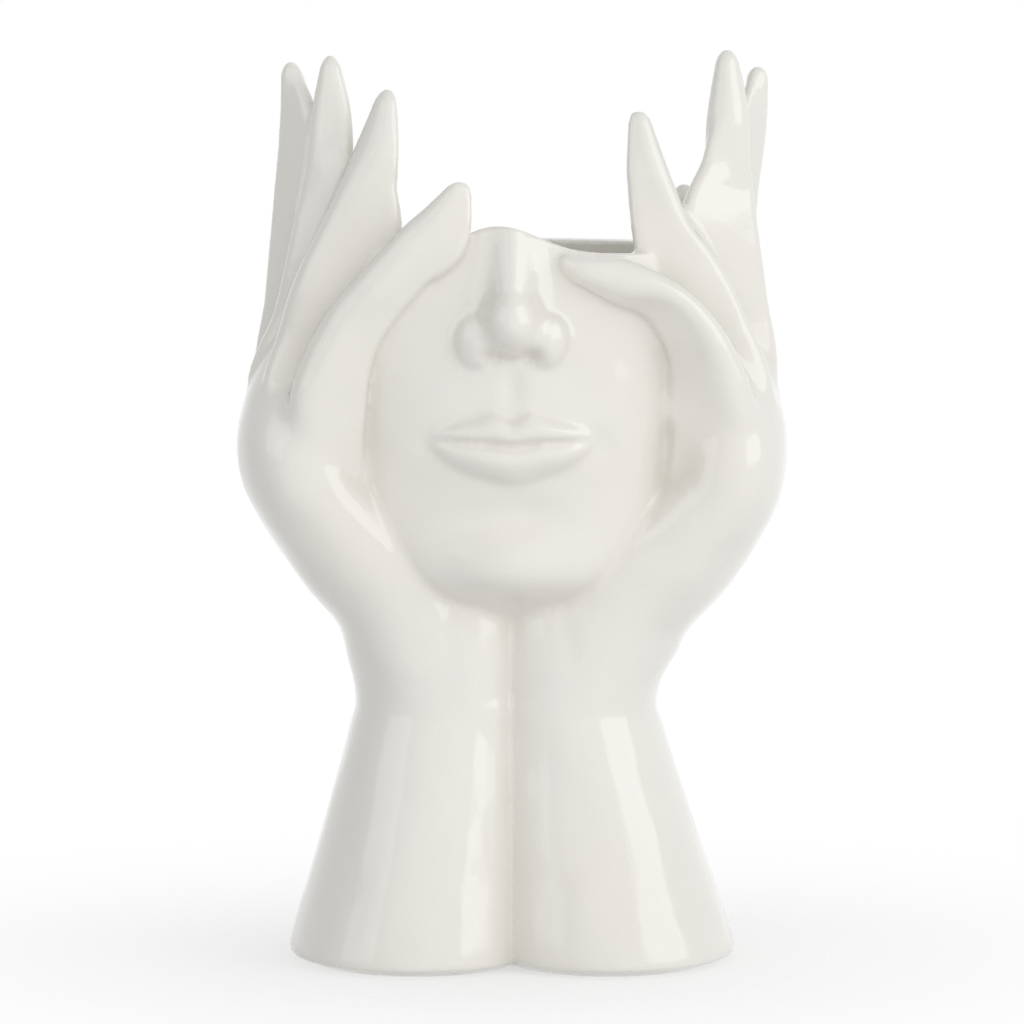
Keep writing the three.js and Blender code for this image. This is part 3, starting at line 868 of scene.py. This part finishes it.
def rehomeSlivers(pieces):
    for piece in pieces:
        number = bodiesOf(piece.data)
        main = np.bincount(number).argmax()
        for name in np.unique(number[number != main]):
            sliver = bpy.data.objects.new("sliver", piece.data.copy())
            bpy.context.collection.objects.link(sliver)
            keepPoints(sliver.data, number == name)
            points = pointsOf(sliver.data)
            middle = points.mean(axis=0)
            putPoints(sliver.data, middle + sliverGrow * (points - middle))
            owner = min((other for other in pieces if other is not piece),
                        key=lambda other: np.linalg.norm(pointsOf(other.data) - middle, axis=1).min())
            cut(owner, sliver, "UNION")
            bpy.data.objects.remove(sliver)
        keepPoints(piece.data, number == main)
    for piece in pieces:
        number = bodiesOf(piece.data)
        keepPoints(piece.data, number == np.bincount(number).argmax())


# The pooled depth also drives the painted crease shade in the glaze's colour.
poolAndShade = flowGlaze(vase.data)
markSkin(vase.data, poolAndShade)
print("glaze flowed: at most", round(float(poolAndShade.max()), 2), "mm")

far = 400
pieces = {}
headRoom = shapedTube(head["roomSides"], head["roomLevels"], placeHeadRoom)
shell = takeOut("faceShell", vase, headRoom)
pieces["face_shell"] = shell
behind = block((-far, head["splitBehind"], -far), (far, far, far))
pieces["back_shell"] = takeOut("backShell", shell, behind)
for side, hand in hands.items():
    edges = sorted([0, hand["sign"] * far])
    half = takeOut(side + "Hand", vase, block((edges[0], -far, -far), (edges[1], far, far)))
    pieces[side + "_hand"] = half
    forearm = takeOut(side + "Forearm", half, block((-far, -far, -far), (far, far, heights["wrist"])))
    pieces[side + "_forearm"] = forearm
    placeRecess = placeFootPlate(hand, foot["gap"])
    recess = objectOf("recess", [shapedTube(foot["sides"], foot["levels"], placeRecess)])
    cut(forearm, recess, "DIFFERENCE")
    bpy.data.objects.remove(recess)
    for finger in ("Little", "Ring", "Middle", "Index", "Thumb"):
        place = placeFinger(side + finger, knuckleShare, fingerRoom)
        room = shapedTube(fingerSides, roomLevels, place)
        node = side + "_" + finger.lower() + ("" if finger == "Thumb" else "_finger")
        pieces[node] = takeOut(side + finger, half, room)
bpy.data.objects.remove(vase)
rehomeSlivers(list(pieces.values()))
for piece in pieces.values():
    shadeSkin(piece.data)
print("parted:", {name: len(piece.data.polygons) for name, piece in pieces.items()})

plates = {}
for side, hand in hands.items():
    tube = shapedTube(foot["sides"], foot["levels"], placeFootPlate(hand, 0))
    plate = objectOf(side + "FootPlate", [tube])
    plates[side + "_foot_plate"] = plate
print("foot plates made")


# Materials

class Wire:
    def __init__(self, tree, socket=None):
        self.tree, self.socket = tree, socket

    def node(self, kind, settings, inputs):
        made = self.tree.nodes.new(kind)
        for key, value in settings.items():
            setattr(made, key, value)
        for key, value in inputs.items():
            if isinstance(value, Wire):
                self.tree.links.new(value.socket, made.inputs[key])
            else:
                made.inputs[key].default_value = value
        return made

    def out(self, kind, settings, inputs, output=0):
        return Wire(self.tree, self.node(kind, settings, inputs).outputs[output])

    def noise(self, where, scale, detail, roughness=0.5):
        inputs = {"Vector": where, "Scale": scale, "Detail": detail, "Roughness": roughness}
        return self.out("ShaderNodeTexNoise", {}, inputs, "Fac")

    def mixColours(self, share, first, second):
        return self.out("ShaderNodeMix", {"data_type": "RGBA"}, {0: share, 6: first, 7: second}, 2)

    def maths(self, operation, first, second):
        return self.out("ShaderNodeMath", {"operation": operation}, {0: first, 1: second})

    def __add__(self, other):
        return self.maths("ADD", self, other)

    def __sub__(self, other):
        return self.maths("SUBTRACT", self, other)

    def __mul__(self, other):
        return self.maths("MULTIPLY", self, other)

    __radd__ = __add__
    __rmul__ = __mul__

    def __rsub__(self, other):
        return self.maths("SUBTRACT", other, self)


glaze = {
    "ivory": (0.83, 0.815, 0.77, 1),
    "warmIvory": (0.80, 0.775, 0.715, 1),
    # The cream is the pooled glaze's tone, darkened with painted crease shade and warm bounce light.
    "creamAndCreaseShade": (0.75, 0.71, 0.62, 1),
    "roughness": 0.07,
    "coat": 0.6,
    "wave": 0.9,
    "waveHeight": 0.003,
    "waveScale": 38,
    "cloudScale": 14,
    "peelScale": 520,
}


def startMaterial(name):
    material = bpy.data.materials.new(name)
    material.use_nodes = True
    tree = material.node_tree
    tree.nodes.clear()
    return material, Wire(tree)


def glazeMaterial():
    material, wire = startMaterial("ivoryGlaze")
    where = wire.out("ShaderNodeTexCoord", {}, {}, "Object")
    clouds = wire.noise(where, glaze["cloudScale"], 3)
    waves = wire.noise(where, glaze["waveScale"], 1, 0.4)
    peel = wire.noise(where, glaze["peelScale"], 2)
    poolAndShade = wire.out("ShaderNodeAttribute", {"attribute_name": "poolAndCreaseShade"}, {}, "Fac")
    colour = wire.mixColours(clouds, glaze["ivory"], glaze["warmIvory"])
    # Cream where the glaze pooled: partly the thicker glaze's own tone, partly painted shade and warm
    # bounce light in the creases.
    colour = wire.mixColours(poolAndShade, colour, glaze["creamAndCreaseShade"])
    rough = glaze["roughness"] + 0.05 * (peel - 0.5) + 0.04 * (clouds - 0.5)
    bumped = wire.out("ShaderNodeBump", {}, {
        "Strength": glaze["wave"], "Distance": glaze["waveHeight"],
        "Height": waves + 0.02 * peel}, "Normal")
    surface = wire.out("ShaderNodeBsdfPrincipled", {}, {
        "Base Color": colour, "Roughness": rough, "IOR": 1.5, "Coat Weight": glaze["coat"],
        "Coat Roughness": 0.03, "Normal": bumped})
    wire.node("ShaderNodeOutputMaterial", {}, {"Surface": surface})
    return material


clay = {
    "pale": (0.80, 0.765, 0.69, 1),
    "sandy": (0.70, 0.65, 0.56, 1),
    "fleck": (0.42, 0.35, 0.27, 1),
    "roughness": 0.82,
    "grain": 0.4,
    "grainHeight": 0.0004,
    "grainScale": 1500,
    "cloudScale": 60,
    "fleckScale": 420,
    "fleckStrength": 0.5,
}


def clayMaterial():
    material, wire = startMaterial("bareClay")
    where = wire.out("ShaderNodeTexCoord", {}, {}, "Object")
    clouds = wire.noise(where, clay["cloudScale"], 4)
    grain = wire.noise(where, clay["grainScale"], 3)
    flecks = wire.out("ShaderNodeTexVoronoi", {},
                      {"Vector": where, "Scale": clay["fleckScale"]}, "Distance")
    fleck = wire.out("ShaderNodeMapRange", {}, {0: flecks, 1: 0.06, 2: 0.16, 3: 1, 4: 0})
    colour = wire.mixColours(clouds, clay["pale"], clay["sandy"])
    colour = wire.mixColours(clay["fleckStrength"] * fleck, colour, clay["fleck"])
    rough = clay["roughness"] + 0.2 * (grain - 0.5)
    bumped = wire.out("ShaderNodeBump", {}, {
        "Strength": clay["grain"], "Distance": clay["grainHeight"], "Height": grain}, "Normal")
    surface = wire.out("ShaderNodeBsdfPrincipled", {}, {
        "Base Color": colour, "Roughness": rough, "Normal": bumped})
    wire.node("ShaderNodeOutputMaterial", {}, {"Surface": surface})
    return material


def dress(made, material, node):
    made.data.materials.clear()
    made.data.materials.append(material)
    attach(made, "root")
    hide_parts(node)


ivoryGlaze, bareClay = glazeMaterial(), clayMaterial()
for node, piece in pieces.items():
    dress(piece, ivoryGlaze, node)
for node, plate in plates.items():
    dress(plate, bareClay, node)
print("glazed:", len(pieces), "pieces; bare clay:", len(plates))


# Studio

studio = {
    "eye": (0, -2.1916, 0.3340),
    "aim": (0, 0, 0.1423),
    "lens": 241.74,
    "fill": 0.346,
    "fillFromRight": 0.223,
    "fillFrontAndBack": 0.988,
    "lampHeight": 1.3,
    "lampAim": (0, 0, 0.15),
}

softboxes = {
    "rightBox": {"place": (1.36, -0.634, 0.9), "width": 1.4, "watts": 6.5},
    "leftBox": {"place": (-1.324, -0.704, 0.9), "width": 1.2, "watts": 3},
}

floorSheet = {
    "half": 1.5,
    "paper": (0.9, 0.9, 0.9, 1),
    "strength": 0.6,
    "fadeScale": (3.2, 3.2, 3.2),
}


def aimAt(made, place, target):
    made.location = place
    made.rotation_euler = (Vector(target) - Vector(place)).to_track_quat("-Z", "Y").to_euler()


def softbox(name, place, width, watts):
    lamp = bpy.data.lights.new(name, "AREA")
    lamp.shape = "RECTANGLE"
    lamp.size, lamp.size_y = width, studio["lampHeight"]
    lamp.energy = watts
    made = bpy.data.objects.new(name, lamp)
    bpy.context.collection.objects.link(made)
    aimAt(made, place, studio["lampAim"])


# Pale paper under the vase that fades out into the white room.
def floorMaterial():
    material, wire = startMaterial("paleFloor")
    where = wire.out("ShaderNodeTexCoord", {}, {}, "Object")
    placed = wire.out("ShaderNodeMapping", {}, {"Vector": where, "Scale": floorSheet["fadeScale"]})
    fade = wire.out("ShaderNodeTexGradient", {"gradient_type": "QUADRATIC_SPHERE"},
                    {"Vector": placed}, "Fac")
    paper = wire.out("ShaderNodeBsdfDiffuse", {}, {"Color": floorSheet["paper"]})
    clear = wire.out("ShaderNodeBsdfTransparent", {}, {})
    share = floorSheet["strength"] * fade
    mixed = wire.out("ShaderNodeMixShader", {}, {0: share, 1: clear, 2: paper})
    wire.node("ShaderNodeOutputMaterial", {}, {"Surface": mixed})
    return material


# Soft light, mostly from front and back, and more on the right, in a room that looks white.
def whiteWorld():
    world = bpy.data.worlds.new("whiteRoom")
    world.use_nodes = True
    world.node_tree.nodes.clear()
    wire = Wire(world.node_tree)
    way = wire.out("ShaderNodeTexCoord", {}, {}, "Generated")
    right = wire.out("ShaderNodeSeparateXYZ", {}, {"Vector": way}, "X")
    back = wire.out("ShaderNodeSeparateXYZ", {}, {"Vector": way}, "Y")
    glow = studio["fill"] + studio["fillFromRight"] * right
    glow = glow + studio["fillFrontAndBack"] * back * back
    seen = wire.out("ShaderNodeLightPath", {}, {}, "Is Camera Ray")
    for ray in ("Is Glossy Ray", "Is Transmission Ray"):
        seen = wire.maths("MAXIMUM", seen, wire.out("ShaderNodeLightPath", {}, {}, ray))
    soft = wire.out("ShaderNodeBackground", {}, {"Color": (1, 1, 1, 1), "Strength": glow})
    white = wire.out("ShaderNodeBackground", {}, {"Color": (1, 1, 1, 1), "Strength": 1})
    mixed = wire.out("ShaderNodeMixShader", {}, {0: seen, 1: soft, 2: white})
    wire.node("ShaderNodeOutputWorld", {}, {"Surface": mixed})
    bpy.context.scene.world = world


floorMesh = bpy.data.meshes.new("floor")
bm = bmesh.new()
bmesh.ops.create_grid(bm, x_segments=8, y_segments=8, size=floorSheet["half"])
bm.to_mesh(floorMesh)
bm.free()
floor = bpy.data.objects.new("floor", floorMesh)
bpy.context.collection.objects.link(floor)
floor.data.materials.append(floorMaterial())

for name, box in softboxes.items():
    softbox(name, box["place"], box["width"], box["watts"])
whiteWorld()

scene = bpy.context.scene
camera = bpy.data.objects.new("camera", bpy.data.cameras.new("camera"))
camera.data.lens = studio["lens"]
camera.data.sensor_width = 36
bpy.context.collection.objects.link(camera)
aimAt(camera, studio["eye"], studio["aim"])
scene.camera = camera
scene.view_settings.view_transform = "Standard"
print("studio set")
